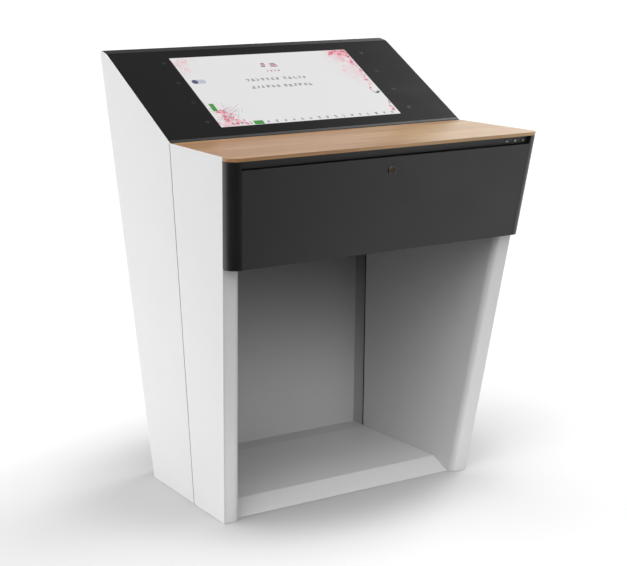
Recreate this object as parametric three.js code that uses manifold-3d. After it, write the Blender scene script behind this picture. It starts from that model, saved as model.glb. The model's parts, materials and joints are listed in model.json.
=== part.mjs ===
// A multimedia teaching lectern: a sheet-steel body with flared sides, a timber desk board, a lockable
// keyboard drawer, and a sloping glass console with a touch display in it.
// Millimetres, +Z up, the user stands on the -Y side. The model is laid out from the front foot of the
// side panels (y = 0) and is shifted at the end, so that the origin is the centre of its footprint box.

import * as THREE from 'three';
import * as BufferGeometryUtils from 'three/addons/utils/BufferGeometryUtils.js';
import Module from 'manifold-3d';

const wasm = await Module();
wasm.setup();

// ---------------------------------------------------------------- driving dimensions

const FOOT_HALF_WIDTH = 364.6; // outer face of a side panel at the front foot
const FLARE = 0.0735; // the sides lean out by this much for each mm of height
const TOE_IN = 0.0462; // and close in by this much for each mm towards the back
const FOOT_DEPTH = 391.5;
const FRONT_LEAN = 0.1537; // the front edge comes forward with height
const BACK_LEAN = 0.0854; // the back edge goes back with height
const DESK_HEIGHT = 904;
const TOP_HEIGHT = 1094;
const SLOPE_FOOT = [125.6, DESK_HEIGHT]; // [y, z] where the console meets the desk board
const SLOPE_HEAD = [453, 1087.5]; // [y, z] of the console's upper edge
const GROOVE_FOOT_Y = 159.7; // the groove between the two side panels, at the floor

const GAP = 0.4; // clearance between fitted pieces
const SHEET = 2.5; // folded sheet steel
const SKIN = 3; // side panels
const GROOVE = 3.2;
const FLOOR_CLEARANCE = 0.5; // steel edges stay off the floor, the glides carry the load

const KNEE_HALF_WIDTH = 311; // inner wall of a leg, at the floor and the back
const KNEE_TOE_IN = 0.022; // the inner walls open out by this much for each mm towards the front
const POST_RADIUS = 17; // rounded inner edge of a leg's front face
const FOOT_PLATE_TOP = 26;
const FOOT_PLATE_FRONT = 18;
const FOOT_PLATE_RAMP = 59; // depth of the ramp at the front of the foot plate
const BACK_BOX_DEPTH = 51; // the knee space runs this far behind the legs
const BACK_BOX_FLARE = 18; // and is this much wider on each side there

const HOUSING_BOTTOM = 645.5;
const OVERHANG = 36; // the black housing stands this far in front of the legs
const CAP_RADIUS = 28;
const CAP_THICKNESS = 14;
const BOARD_THICKNESS = 8;
const STRIP_HEIGHT = 18;
const STRIP_RECESS = 12;
const DRAWER_TOP = 875.5;
const FRONT_THICKNESS = 18;

const LOCK_HEIGHT = 844;
const LOCK_RADIUS = 12.5;
const BUTTON_HEIGHT = 884.8;
const BUTTON_FIRST_X = 344;
const BUTTON_PITCH = 25.5;
const BUTTON_SIZE = [16, 9];

const BAY_HALF_WIDTH = 348; // inside of the drawer bay
const BAY_FRONT = -95;
const BAY_BACK = 282;
const TRAY_HALF_WIDTH = 334;
const TRAY_DEPTH = 360;
const TRAY_BOTTOM = 664;
const TRAY_HEIGHT = 120;
const TRAY_SHEET = 1.5;
const SLIDE_HEIGHT = 722;
const SLIDE_LENGTH = 350;

const GLASS_THICKNESS = 5;
const LIP_DEPTH = 11;
const SCREEN_HALF_WIDTH = 263.5; // a 23.8 inch 16:9 picture
const SCREEN_FOOT = 45.4; // distance up the slope to the picture's lower edge
const SCREEN_HEIGHT = 296.5;
const SCREEN_BORDER = 10.5;
const SCREEN_THICKNESS = 18;

const SHELF_HEIGHT = 880;
const BACK_FOOT = 647.5; // lower edge of the upper back frame
const BACK_LENGTH = 424.5;
const DOOR_HALF_WIDTH = 320;
const DOOR_FOOT = 42; // above the lower edge of the back frame
const DOOR_LENGTH = 334;
const DOOR_FOLD = 14;
const DOOR_GAP = 2;
const HINGE_RADIUS = 4.2;
const HINGE_PIN_RADIUS = 2;
const HINGE_LEAF = 28;
const HINGE_LENGTH = 60;

// ---------------------------------------------------------------- the form of the body

const frontY = (z) => -FRONT_LEAN * z;
const backY = (z) => FOOT_DEPTH + BACK_LEAN * z;
const halfWidth = (y, z) => FOOT_HALF_WIDTH + FLARE * z - TOE_IN * y;
const cornerX = (z) => halfWidth(frontY(z), z);
const kneeHalfWidth = (y, z) => KNEE_HALF_WIDTH + FLARE * z + KNEE_TOE_IN * (backY(z) - y);
const faceY = (z) => frontY(z) - OVERHANG;

const SLOPE_ANGLE = Math.atan2(SLOPE_HEAD[1] - SLOPE_FOOT[1], SLOPE_HEAD[0] - SLOPE_FOOT[0]);
const SLOPE_LENGTH = Math.hypot(SLOPE_HEAD[0] - SLOPE_FOOT[0], SLOPE_HEAD[1] - SLOPE_FOOT[1]);
const FRONT_ANGLE = Math.atan(FRONT_LEAN);
const BACK_ANGLE = Math.atan(BACK_LEAN);
const LEFT = -1;
const RIGHT = 1;

// half the clear width between the side panels, at a distance up the console slope and out of it
function slopeHalfWidth(distance, out = 0) {
  const y = SLOPE_FOOT[0] + distance * Math.cos(SLOPE_ANGLE) - out * Math.sin(SLOPE_ANGLE);
  const z = SLOPE_FOOT[1] + distance * Math.sin(SLOPE_ANGLE) + out * Math.cos(SLOPE_ANGLE);
  return halfWidth(y, z) - SKIN - GAP;
}

// ---------------------------------------------------------------- materials

function material(colour, roughness, metalness) {
  return new THREE.MeshStandardMaterial({ color: colour, roughness, metalness });
}

const whitePaint = material(0xe2e2e2, 0.45, 0.1);
const blackPaint = material(0x2b2b2b, 0.5, 0.1);
const timber = material(0xcaa477, 0.5, 0);
const blackGlass = material(0x1c1c1c, 0.08, 0);
const blackPlastic = material(0x262626, 0.5, 0);
const keyPlastic = material(0x3a3a3a, 0.45, 0);
const steel = material(0xb9bcc0, 0.35, 0.9);
const chrome = material(0xd4d6d8, 0.15, 1);
const brass = material(0xc4a35a, 0.3, 1);
const greyPaint = material(0x9a9da1, 0.5, 0.3);
const rubber = material(0x1e1e1e, 0.85, 0);

// ---------------------------------------------------------------- geometry helpers

function shapeOf(points) {
  return new THREE.Shape(points.map(([x, y]) => new THREE.Vector2(x, y)));
}

function holeOf(points) {
  return new THREE.Path(points.map(([x, y]) => new THREE.Vector2(x, y)));
}

// points on an arc from one angle to another, in degrees
function arc(centreX, centreY, radius, from, to, steps = 8) {
  const points = [];
  for (let i = 0; i <= steps; i += 1) {
    const angle = THREE.MathUtils.degToRad(from + ((to - from) * i) / steps);
    points.push([centreX + radius * Math.cos(angle), centreY + radius * Math.sin(angle)]);
  }
  return points;
}

// points that round off a corner between two straight edges
function rounded(before, corner, after, radius, steps = 6) {
  const at = new THREE.Vector2(...corner);
  const start = new THREE.Vector2(...before).sub(at).setLength(radius).add(at);
  const end = new THREE.Vector2(...after).sub(at).setLength(radius).add(at);
  const curve = new THREE.QuadraticBezierCurve(start, at, end);
  return curve.getPoints(steps).map((point) => [point.x, point.y]);
}

function rectangle(x0, y0, x1, y1) {
  return [[x0, y0], [x1, y0], [x1, y1], [x0, y1]];
}

function roundedRectangle(x0, y0, x1, y1, radius, steps = 4) {
  return [
    ...arc(x1 - radius, y0 + radius, radius, -90, 0, steps),
    ...arc(x1 - radius, y1 - radius, radius, 0, 90, steps),
    ...arc(x0 + radius, y1 - radius, radius, 90, 180, steps),
    ...arc(x0 + radius, y0 + radius, radius, 180, 270, steps),
  ];
}

function volumeOf(geometry) {
  const position = geometry.attributes.position;
  const a = new THREE.Vector3();
  const b = new THREE.Vector3();
  const c = new THREE.Vector3();
  let sum = 0;
  for (let i = 0; i < position.count; i += 3) {
    a.fromBufferAttribute(position, i);
    b.fromBufferAttribute(position, i + 1);
    c.fromBufferAttribute(position, i + 2);
    sum += a.dot(b.cross(c));
  }
  return sum / 6;
}

// moves every vertex by a rule, and turns the faces over if that mirrored the shape
function reshaped(source, rule) {
  const geometry = source.index ? source.toNonIndexed() : source;
  const position = geometry.attributes.position;
  for (let i = 0; i < position.count; i += 1) {
    position.setXYZ(i, ...rule(position.getX(i), position.getY(i), position.getZ(i)));
  }
  if (volumeOf(geometry) < 0) {
    for (let i = 0; i < position.count; i += 3) {
      const kept = [position.getX(i), position.getY(i), position.getZ(i)];
      position.setXYZ(i, position.getX(i + 2), position.getY(i + 2), position.getZ(i + 2));
      position.setXYZ(i + 2, ...kept);
    }
  }
  geometry.computeVertexNormals();
  return geometry;
}

function extruded(points, depth, holes = []) {
  const shape = shapeOf(points);
  shape.holes = holes.map(holeOf);
  return new THREE.ExtrudeGeometry(shape, { depth, bevelEnabled: false });
}

// a standing piece whose plan outline follows the body's leaning faces between two heights
function standing(outlineAt, zLow, zHigh) {
  const lower = outlineAt(zLow);
  const upper = outlineAt(zHigh);
  return reshaped(extruded(lower, 1), (x, y, z) => {
    if (z < 0.5) return [x, y, zLow];
    const near = lower.findIndex(([px, py]) => Math.hypot(px - x, py - y) < 1e-3);
    return [upper[near][0], upper[near][1], zHigh];
  });
}

// a flat plate inside the skin of one side, drawn in the (y, z) plane
function sidePlate(outline, outerOffset, innerOffset, side) {
  return reshaped(extruded(outline, 1), (y, z, across) => {
    const offset = across < 0.5 ? outerOffset : innerOffset;
    return [side * (halfWidth(y, z) - offset), y, z];
  });
}

// a section in (y, z), run across the body to a half length that may depend on the point
function across(section, halfLengthAt) {
  return reshaped(extruded(section, 1), (y, z, end) => {
    const half = halfLengthAt(y, z);
    return [end < 0.5 ? -half : half, y, z];
  });
}

// a section in (x, z), run backwards from a front position
function backwards(section, front, length) {
  return reshaped(extruded(section, length), (x, z, depth) => [x, front + depth, z]);
}

// a plate drawn in (x, z), with its back at y = 0 of its own frame and standing out towards -Y
function facing(outline, thickness, holes = []) {
  return reshaped(extruded(outline, thickness, holes), (x, z, depth) => [x, -depth, z]);
}

function block(x0, y0, z0, x1, y1, z1) {
  const geometry = new THREE.BoxGeometry(x1 - x0, y1 - y0, z1 - z0);
  geometry.translate((x0 + x1) / 2, (y0 + y1) / 2, (z0 + z1) / 2);
  return geometry;
}

// a round piece along Y: profile points are [radius, y] with y rising, both ends on the axis
function turned(profile, segments = 32) {
  const points = profile.map(([radius, y]) => new THREE.Vector2(radius, y));
  return new THREE.LatheGeometry(points, segments);
}

function rod(radius, length, segments = 20) {
  return new THREE.CylinderGeometry(radius, radius, length, segments);
}

function solid(source) {
  const plain = source.clone();
  plain.deleteAttribute('normal');
  plain.deleteAttribute('uv');
  const merged = BufferGeometryUtils.mergeVertices(plain, 1e-4);
  const mesh = new wasm.Mesh({
    numProp: 3,
    vertProperties: new Float32Array(merged.attributes.position.array),
    triVerts: new Uint32Array(merged.index.array),
  });
  return new wasm.Manifold(mesh);
}

function geometryOf(manifold) {
  const mesh = manifold.getMesh();
  const geometry = new THREE.BufferGeometry();
  geometry.setAttribute('position', new THREE.BufferAttribute(mesh.vertProperties, 3));
  geometry.setIndex(new THREE.BufferAttribute(mesh.triVerts, 1));
  const faceted = geometry.toNonIndexed();
  faceted.computeVertexNormals();
  return faceted;
}

function cut(geometry, ...tools) {
  return geometryOf(tools.reduce((rest, tool) => rest.subtract(solid(tool)), solid(geometry)));
}

function joined(geometry, ...others) {
  return geometryOf(others.reduce((whole, other) => whole.add(solid(other)), solid(geometry)));
}

const lectern = new THREE.Group();

function add(name, geometry, finish, parent = lectern) {
  const mesh = new THREE.Mesh(geometry, finish);
  mesh.name = name;
  parent.add(mesh);
  return mesh;
}

// a frame of its own, set into one of the body's leaning faces
function frameAt(x, y, z, tilt) {
  const frame = new THREE.Group();
  frame.position.set(x, y, z);
  frame.rotation.x = tilt;
  lectern.add(frame);
  return frame;
}

// ---------------------------------------------------------------- side panels

const grooveY = (z) => GROOVE_FOOT_Y + ((SLOPE_FOOT[0] - GROOVE_FOOT_Y) * z) / DESK_HEIGHT;

function rearPanelOutline() {
  const foot = [backY(FLOOR_CLEARANCE), FLOOR_CLEARANCE];
  const top = [backY(TOP_HEIGHT), TOP_HEIGHT];
  const grooveTop = [grooveY(DESK_HEIGHT) + GROOVE / 2, DESK_HEIGHT];
  const grooveFoot = [grooveY(FLOOR_CLEARANCE) + GROOVE / 2, FLOOR_CLEARANCE];
  return [
    foot,
    ...rounded(foot, top, SLOPE_HEAD, 12),
    ...rounded(top, SLOPE_HEAD, grooveTop, 10, 4),
    grooveTop,
    grooveFoot,
  ];
}

function frontPanelOutline() {
  return [
    [frontY(FLOOR_CLEARANCE), FLOOR_CLEARANCE],
    [grooveY(FLOOR_CLEARANCE) - GROOVE / 2, FLOOR_CLEARANCE],
    [grooveY(DESK_HEIGHT) - GROOVE / 2, DESK_HEIGHT],
    [frontY(DESK_HEIGHT), DESK_HEIGHT],
  ];
}

// a strip behind the groove joins the two panels of a side and closes the joint
function grooveBackingOutline() {
  const low = FOOT_PLATE_TOP;
  const high = DESK_HEIGHT - 40;
  const reach = 18;
  return [
    [grooveY(low) - reach, low],
    [grooveY(low) + reach, low],
    [grooveY(high) + reach, high],
    [grooveY(high) - reach, high],
  ];
}

// the leg's folded inner shell: a flange behind the skin, front face, rounded edge, knee wall and back
function legOutline(side) {
  return (z) => {
    const front = frontY(z);
    const inner = kneeHalfWidth(front + POST_RADIUS, z);
    const innerBack = kneeHalfWidth(backY(z), z);
    const flange = 20;
    const skinAt = (y) => halfWidth(y, z) - SKIN - GAP;
    const points = [
      [skinAt(front), front],
      [skinAt(front + flange), front + flange],
      [skinAt(front + flange) - SHEET, front + flange],
      [skinAt(front) - SHEET, front + SHEET],
      ...arc(inner + POST_RADIUS, front + POST_RADIUS, POST_RADIUS - SHEET, 270, 180, 6),
      [innerBack + SHEET, backY(z) - SHEET],
      [skinAt(backY(z)), backY(z) - SHEET],
      [skinAt(backY(z)), backY(z)],
      [innerBack, backY(z)],
      ...arc(inner + POST_RADIUS, front + POST_RADIUS, POST_RADIUS, 180, 270, 6),
    ];
    return points.map(([x, y]) => [side * x, y]);
  };
}

const GLIDE_RADIUS = 11;
const GLIDE_HEIGHT = 7;
const FOOT_BAR = { x0: 324, x1: 341, y0: 24, y1: 376, z1: 24 };

function addSide(label, side) {
  add(`${label}_side_panel_rear`, sidePlate(rearPanelOutline(), 0, SKIN, side), whitePaint);
  add(`${label}_side_panel_front`, sidePlate(frontPanelOutline(), 0, SKIN, side), whitePaint);
  const backing = sidePlate(grooveBackingOutline(), SKIN + GAP, SKIN + GAP + 2, side);
  add(`${label}_groove_backing`, backing, blackPaint);
  add(`${label}_leg_shell`, standing(legOutline(side), FLOOR_CLEARANCE, HOUSING_BOTTOM - GAP), whitePaint);
  const bar = FOOT_BAR;
  const [near, far] = side === LEFT ? [-bar.x1, -bar.x0] : [bar.x0, bar.x1];
  add(`${label}_foot_bar`, block(near, bar.y0, GLIDE_HEIGHT + GAP, far, bar.y1, bar.z1), steel);
  for (const [place, y] of [['front', bar.y0 + 20], ['rear', bar.y1 - 20]]) {
    const glide = new THREE.CylinderGeometry(GLIDE_RADIUS - 2, GLIDE_RADIUS, GLIDE_HEIGHT, 24);
    glide.rotateX(Math.PI / 2);
    glide.translate((side * (bar.x0 + bar.x1)) / 2, y, GLIDE_HEIGHT / 2);
    add(`${label}_${place}_glide`, glide, rubber);
  }
}

addSide('left', LEFT);
addSide('right', RIGHT);

// ---------------------------------------------------------------- knee space

const kneeBackY = (z) => backY(z) + BACK_BOX_DEPTH;

function addKneeSpace() {
  const rampEnd = FOOT_PLATE_FRONT + FOOT_PLATE_RAMP;
  const rear = backY(FOOT_PLATE_TOP - SHEET) - GAP;
  const section = [
    [FOOT_PLATE_FRONT, FLOOR_CLEARANCE],
    [FOOT_PLATE_FRONT + 6, FLOOR_CLEARANCE],
    [rampEnd + 1, FOOT_PLATE_TOP - SHEET],
    [rear, FOOT_PLATE_TOP - SHEET],
    [rear, FOOT_PLATE_TOP],
    [rampEnd, FOOT_PLATE_TOP],
  ];
  add('foot_plate', across(section, (y, z) => kneeHalfWidth(y, z) - GAP), whitePaint);

  // an open-fronted box behind the legs: it leans with the back edge of the side panels, is wider
  // than the knee space where it meets the legs, and has a ledge level with the foot plate
  const wall = 2;
  const boxAt = (inset, front, rearWall) => (z) => {
    const kneeHalf = kneeHalfWidth(backY(z), z);
    const nearHalf = kneeHalf + BACK_BOX_FLARE - inset;
    const farHalf = kneeHalf + wall + 1 - inset;
    const near = backY(z) + front;
    const far = kneeBackY(z) + rearWall;
    return [[-nearHalf, near], [nearHalf, near], [farHalf, far], [-farHalf, far]];
  };
  const low = 3;
  const high = HOUSING_BOTTOM - 0.5;
  const box = standing(boxAt(0, GAP, wall), low, high);
  const room = standing(boxAt(wall, -5, 0), FOOT_PLATE_TOP, high - wall);
  const underLedge = standing(boxAt(wall, GAP + wall, 0), low - 2, FOOT_PLATE_TOP - wall);
  add('knee_back_box', cut(box, room, underLedge), whitePaint);
}

addKneeSpace();

// ---------------------------------------------------------------- desk board and black housing

// the right half of an outline that wraps a front corner, from the side panel to the front face
function cornerPath(z, inset) {
  const x = cornerX(z) - inset;
  const radius = CAP_RADIUS - inset;
  const straight = frontY(z) - (OVERHANG - CAP_RADIUS);
  return [
    [x, frontY(z) - GAP],
    ...arc(cornerX(z) - CAP_RADIUS, straight, radius, 0, -90, 10),
  ];
}

function mirrored(points) {
  return points.map(([x, y]) => [-x, y]).reverse();
}

function boardOutline(z) {
  const rear = SLOPE_FOOT[0] - 2.5;
  const right = [
    [halfWidth(rear, z) - SKIN - GAP, rear],
    [cornerX(z) - SKIN - GAP, frontY(z) + GAP],
    [cornerX(z) - SKIN - GAP, frontY(z) - GAP],
    ...cornerPath(z, 0),
  ];
  return [...right, ...mirrored(right)];
}

function capOutline(side) {
  return (z) => {
    const points = [...cornerPath(z, 0), ...cornerPath(z, CAP_THICKNESS).reverse()];
    return points.map(([x, y]) => [side * x, y]);
  };
}

const boardBottom = DESK_HEIGHT - BOARD_THICKNESS;

function addHousing() {
  add('desk_board', standing(boardOutline, boardBottom, DESK_HEIGHT), timber);
  add('left_corner_cap', standing(capOutline(LEFT), HOUSING_BOTTOM, boardBottom - GAP), blackPaint);
  add('right_corner_cap', standing(capOutline(RIGHT), HOUSING_BOTTOM, boardBottom - GAP), blackPaint);

  // the sheet under the drawer also closes the top of the knee space and of the legs
  const floor = (z) => {
    const front = faceY(z) + FRONT_THICKNESS + 2;
    const behind = frontY(z) + 1;
    const inside = cornerX(z) - CAP_RADIUS + 6;
    const rear = backY(z) - SHEET - 2;
    const margin = SKIN + 3; // clear of the groove backing
    const right = [
      [halfWidth(rear, z) - margin, rear],
      [halfWidth(behind, z) - margin, behind],
      [inside, behind],
      [inside, front],
    ];
    return [...right, ...mirrored(right)];
  };
  add('housing_floor', standing(floor, HOUSING_BOTTOM + 0.5, HOUSING_BOTTOM + 3), blackPaint);

  const bayFloor = HOUSING_BOTTOM + 3 + GAP;
  const bayTop = SHELF_HEIGHT - 3;
  for (const [label, side] of [['left', LEFT], ['right', RIGHT]]) {
    const outside = BAY_HALF_WIDTH + 2;
    const [x0, x1] = side === LEFT ? [-outside, -BAY_HALF_WIDTH] : [BAY_HALF_WIDTH, outside];
    add(`${label}_bay_side`, block(x0, BAY_FRONT, bayFloor, x1, BAY_BACK, bayTop), blackPaint);
  }
  const backHalf = BAY_HALF_WIDTH + 2;
  const backPlate = block(-backHalf, BAY_BACK + GAP, bayFloor, backHalf, BAY_BACK + 2.4, bayTop);
  add('bay_back', backPlate, blackPaint);

  const railY = 60;
  const railHalf = halfWidth(railY + 30, SHELF_HEIGHT) - SKIN - 1;
  const rail = block(-railHalf, railY, SHELF_HEIGHT - 2, railHalf, railY + 30, boardBottom - GAP);
  add('desk_cross_rail', rail, steel);
}

addHousing();

// ---------------------------------------------------------------- control strip and its buttons

const buttonPlaces = [0, 1, 2].map((index) => BUTTON_FIRST_X + index * BUTTON_PITCH);

function addControlStrip() {
  const top = boardBottom - GAP;
  const outline = (z) => {
    const half = cornerX(z) - CAP_RADIUS - 0.6;
    const front = faceY(z) + STRIP_RECESS;
    return rectangle(-half, front, half, front + SHEET);
  };
  const [width, height] = BUTTON_SIZE;
  const windows = buttonPlaces.map((x) => {
    const half = { x: width / 2 + 0.5, y: height / 2 + 0.5 };
    const opening = roundedRectangle(-half.x, -half.y, half.x, half.y, 2);
    const tool = facing(opening, 20);
    tool.translate(0, 10, 0);
    tool.rotateX(FRONT_ANGLE);
    tool.translate(x, faceY(BUTTON_HEIGHT) + STRIP_RECESS, BUTTON_HEIGHT);
    return tool;
  });
  add('control_strip', cut(standing(outline, top - STRIP_HEIGHT, top), ...windows), blackPaint);

  const names = ['first_button', 'second_button', 'third_button'];
  buttonPlaces.forEach((x, index) => {
    const frame = frameAt(x, faceY(BUTTON_HEIGHT) + STRIP_RECESS, BUTTON_HEIGHT, FRONT_ANGLE);
    const face = facing(roundedRectangle(-width / 2, -height / 2, width / 2, height / 2, 2), 5.4);
    face.translate(0, 4.6, 0);
    add(names[index], face, keyPlastic, frame);
  });
}

addControlStrip();

// ---------------------------------------------------------------- drawer

function addDrawer() {
  const outline = (z) => {
    const half = cornerX(z) - CAP_RADIUS - 0.6;
    return rectangle(-half, faceY(z), half, faceY(z) + FRONT_THICKNESS);
  };
  // the front is a folded pan, open at the back
  const pocket = (z) => {
    const half = cornerX(z) - CAP_RADIUS - 0.6 - SHEET;
    return rectangle(-half, faceY(z) + SHEET, half, faceY(z) + FRONT_THICKNESS + 5);
  };
  const frontFoot = HOUSING_BOTTOM + 0.5;
  const hollow = standing(pocket, frontFoot + SHEET, DRAWER_TOP - SHEET);
  const bore = rod(LOCK_RADIUS - 3, 80, 32);
  bore.rotateX(FRONT_ANGLE);
  bore.translate(0, faceY(LOCK_HEIGHT), LOCK_HEIGHT);
  add('drawer_front', cut(standing(outline, frontFoot, DRAWER_TOP), hollow, bore), blackPaint);

  const front = faceY(TRAY_BOTTOM) + FRONT_THICKNESS + GAP;
  const trayBack = front + TRAY_DEPTH;
  const trayTop = TRAY_BOTTOM + TRAY_HEIGHT;
  const outer = block(-TRAY_HALF_WIDTH, front, TRAY_BOTTOM, TRAY_HALF_WIDTH, trayBack, trayTop);
  const inner = block(
    -TRAY_HALF_WIDTH + TRAY_SHEET,
    front + TRAY_SHEET,
    TRAY_BOTTOM + TRAY_SHEET,
    TRAY_HALF_WIDTH - TRAY_SHEET,
    front + TRAY_DEPTH - TRAY_SHEET,
    TRAY_BOTTOM + TRAY_HEIGHT + 10,
  );
  add('drawer_tray', cut(outer, inner), greyPaint);
}

// the channel section of one slide member: a web with two flanges, drawn on the right side
function channel(web, open, halfHeight, wall) {
  const step = web > open ? -wall : wall;
  return [
    [web, SLIDE_HEIGHT - halfHeight],
    [web, SLIDE_HEIGHT + halfHeight],
    [open, SLIDE_HEIGHT + halfHeight],
    [open, SLIDE_HEIGHT + halfHeight - wall],
    [web + step, SLIDE_HEIGHT + halfHeight - wall],
    [web + step, SLIDE_HEIGHT - halfHeight + wall],
    [open, SLIDE_HEIGHT - halfHeight + wall],
    [open, SLIDE_HEIGHT - halfHeight],
  ];
}

function addSlides() {
  const wall = 1.3;
  const outerWeb = BAY_HALF_WIDTH - GAP;
  const innerWeb = TRAY_HALF_WIDTH + GAP;
  const members = [
    ['outer', channel(outerWeb, innerWeb + 2, 22.5, wall), BAY_FRONT + 8],
    ['middle', channel(outerWeb - wall - 0.5, innerWeb + 2.2, 19.5, wall), BAY_FRONT + 10],
    ['inner', channel(innerWeb, outerWeb - wall * 2 - 1.4, 14, wall), BAY_FRONT + 12],
  ];
  for (const [label, side] of [['left', LEFT], ['right', RIGHT]]) {
    for (const [member, section, front] of members) {
      const placed = section.map(([x, z]) => [side * x, z]);
      add(`${label}_slide_${member}`, backwards(placed, front, SLIDE_LENGTH), steel);
    }
  }
}

// the cam lock sits square to the leaning drawer front: y = 0 is the front face, -y is outwards
function addDrawerLock() {
  const frame = frameAt(0, faceY(LOCK_HEIGHT), LOCK_HEIGHT, FRONT_ANGLE);
  const barrelRadius = LOCK_RADIUS - 3.4;
  const plugRadius = 6.5;
  const barrelEnd = 19;
  const barrel = turned([
    [0, -2.2],
    [LOCK_RADIUS - 1.2, -2.2],
    [LOCK_RADIUS, -1],
    [LOCK_RADIUS, -GAP],
    [barrelRadius, -GAP],
    [barrelRadius, barrelEnd],
    [0, barrelEnd],
  ], 40);
  const through = rod(plugRadius + GAP, 80, 32);
  add('drawer_lock_barrel', cut(barrel, through), chrome, frame);

  const plugEnd = barrelEnd + 1;
  const plugNose = [[0, -2.6], [plugRadius - 0.6, -2.6], [plugRadius, -2]];
  const plugSection = [...plugNose, [plugRadius, plugEnd], [0, plugEnd]];
  const plug = turned(plugSection, 32);
  const keyway = block(-0.8, -6, -4, 0.8, 12, 4);
  add('drawer_lock_plug', cut(plug, keyway), brass, frame);

  // at rest the cam lies sideways, clear of the strip, and a quarter turn lifts it behind the strip
  const arm = roundedRectangle(-7, -7, 41, 7, 6.9, 5);
  const cam = reshaped(extruded(arm, 2.5), (x, z, depth) => [x, barrelEnd + 1 + GAP + depth, z]);
  add('drawer_lock_cam', cam, steel, frame);
}

addDrawer();
addSlides();
addDrawerLock();

// ---------------------------------------------------------------- sloping console

// x across, y up the slope, z out of the glass
const slope = frameAt(0, SLOPE_FOOT[0], SLOPE_FOOT[1], SLOPE_ANGLE);

function slopePlate(low, high, margin, bottom, top, holes = []) {
  const outline = [
    [-(slopeHalfWidth(low) - margin), low],
    [slopeHalfWidth(low) - margin, low],
    [slopeHalfWidth(high) - margin, high],
    [-(slopeHalfWidth(high) - margin), high],
  ];
  return reshaped(extruded(outline, 1, holes), (x, up, layer) => {
    const out = layer < 0.5 ? bottom : top;
    const onEdge = Math.abs(Math.abs(x) + margin - slopeHalfWidth(up)) < 0.01;
    return [onEdge ? Math.sign(x) * (slopeHalfWidth(up, out) - margin) : x, up, out];
  });
}

function addConsole() {
  const glassHead = SLOPE_LENGTH - 2;
  add('touch_glass', slopePlate(LIP_DEPTH, glassHead, 0, -GLASS_THICKNESS, 0), blackGlass, slope);

  const moduleHalf = SCREEN_HALF_WIDTH + SCREEN_BORDER;
  const moduleFoot = SCREEN_FOOT - SCREEN_BORDER;
  const moduleHead = SCREEN_FOOT + SCREEN_HEIGHT + SCREEN_BORDER;
  const moduleTop = -GLASS_THICKNESS - GAP;
  const moduleUnder = moduleTop - SCREEN_THICKNESS;
  const body = block(-moduleHalf, moduleFoot, moduleUnder, moduleHalf, moduleHead, moduleTop);
  add('display_module', body, blackPlastic, slope);

  const play = 2;
  const window = rectangle(-moduleHalf - play, moduleFoot - play, moduleHalf + play, moduleHead + play);
  const ring = slopePlate(LIP_DEPTH + 4, glassHead - 8, 3, moduleUnder, moduleTop, [window]);
  add('console_frame', ring, blackPlastic, slope);

  // a rounded lip closes the step between the glass and the desk board
  const lipInner = LIP_DEPTH - GAP;
  const lipNose = rounded([0, -9], [0, 0], [LIP_DEPTH, 0], 4);
  const lipSection = [[lipInner, -9], [0, -9], ...lipNose, [lipInner, 0]];
  const lip = reshaped(extruded(lipSection, 1), (up, out, end) => {
    const half = slopeHalfWidth(up, out);
    return [end < 0.5 ? -half : half, up, out];
  });
  add('console_lip', lip, blackPlastic, slope);
}

function addTopCap() {
  const head = SLOPE_HEAD;
  const top = [backY(TOP_HEIGHT), TOP_HEIGHT];
  const hem = [backY(TOP_HEIGHT - 22), TOP_HEIGHT - 22];
  const section = [
    [head[0] + 0.5, head[1] + 0.2],
    ...rounded(head, top, hem, 5),
    hem,
    [hem[0] - SHEET, hem[1]],
    [top[0] - SHEET - 2, top[1] - SHEET - 2],
    [head[0] + 0.5, head[1] - SHEET],
  ];
  add('top_cap', across(section, (y, z) => halfWidth(y, z) - SKIN - GAP), blackPaint);
}

addConsole();
addTopCap();

// ---------------------------------------------------------------- equipment

function addEquipment() {
  const shelfBack = backY(SHELF_HEIGHT) - 34; // clear of the fan on the door
  const shelfHalf = halfWidth(shelfBack, SHELF_HEIGHT) - SKIN - 1;
  const shelf = block(-shelfHalf, 130, SHELF_HEIGHT - 2, shelfHalf, shelfBack, SHELF_HEIGHT);
  add('equipment_shelf', shelf, greyPaint);

  const onShelf = SHELF_HEIGHT + GAP;
  add('mini_computer', block(-230, 250, onShelf, -30, 430, onShelf + 38), blackPlastic);
  add('control_unit', block(60, 280, onShelf, 280, 430, onShelf + 44), greyPaint);

  const onFloor = HOUSING_BOTTOM + 3 + GAP;
  add('power_supply', block(-240, 300, onFloor, -70, 410, onFloor + 50), steel);
}

addEquipment();

// ---------------------------------------------------------------- upper back: frame, door, hinges, lock, fan

// y = 0 is the outer face of the leaning back and z runs up it
const back = frameAt(0, backY(BACK_FOOT), BACK_FOOT, -BACK_ANGLE);

function backHalfWidth(up) {
  const z = BACK_FOOT + up * Math.cos(BACK_ANGLE);
  return halfWidth(backY(z), z) - SKIN - GAP;
}

const INLET = { x: -300, z: 19, width: 26, height: 18 };

function addBackFrame() {
  const outline = [
    [-backHalfWidth(0), 0],
    [backHalfWidth(0), 0],
    [backHalfWidth(BACK_LENGTH), BACK_LENGTH],
    [-backHalfWidth(BACK_LENGTH), BACK_LENGTH],
  ];
  const border = (margin) => {
    const half = DOOR_HALF_WIDTH + margin;
    return rectangle(-half, DOOR_FOOT - margin, half, DOOR_FOOT + DOOR_LENGTH + margin);
  };
  const plate = facing(outline, SHEET, [border(DOOR_GAP)]);
  const fold = facing(border(DOOR_GAP + 2), DOOR_FOLD + 3, [border(DOOR_GAP)]);
  const reach = { x: INLET.width / 2 + GAP, z: INLET.height / 2 + GAP };
  const window = block(INLET.x - reach.x, -10, INLET.z - reach.z, INLET.x + reach.x, 10, INLET.z + reach.z);
  add('back_frame', cut(joined(plate, fold), window), whitePaint, back);
}

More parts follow.
